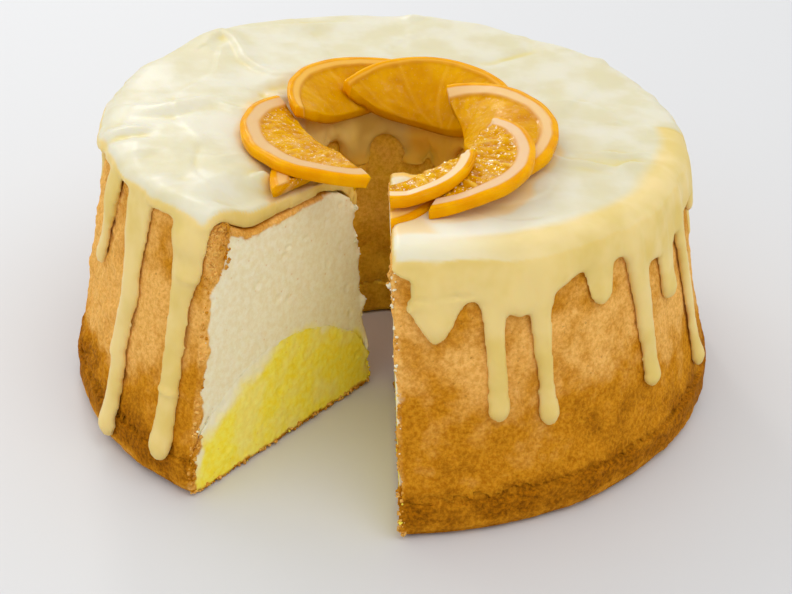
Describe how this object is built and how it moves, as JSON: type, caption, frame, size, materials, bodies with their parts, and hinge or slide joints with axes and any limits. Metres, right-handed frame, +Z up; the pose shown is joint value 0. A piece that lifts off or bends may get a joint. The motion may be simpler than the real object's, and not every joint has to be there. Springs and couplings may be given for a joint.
{
  "type": "angel food cake",
  "caption": "Tall ring cake in two sponge layers under poured icing with drips, one wedge cut out and candied orange slices fanned round the central hole.",
  "frame": {"origin": "centre of the cake's round base, on the surface it stands on and on the axis of its central hole", "axes": "+Z up along the central hole; the missing wedge faces -Y; +X is to the right of a person looking at the wedge"},
  "size_m": [0.2574, 0.2572, 0.1188],
  "materials": {
    "white_sponge": "soft open crumb, cream where cut, with a browned crust on the outer wall and in the hole",
    "yellow_sponge": "soft open crumb, yellow where cut, with a browned crust at the base",
    "icing": "poured pale cream icing, satin",
    "candied_orange": "sticky syrup gloss over orange rind, pale pith and amber flesh"
  },
  "bodies": {
    "root": {"white_sponge": "white_sponge", "yellow_sponge": "yellow_sponge", "icing": "icing", "orange_slice_1": "candied_orange", "orange_slice_2": "candied_orange", "orange_slice_3": "candied_orange", "orange_slice_4": "candied_orange", "orange_slice_5": "candied_orange", "orange_slice_6": "candied_orange", "orange_slice_7": "candied_orange", "orange_slice_8": "candied_orange"}
  },
  "joints": []
}
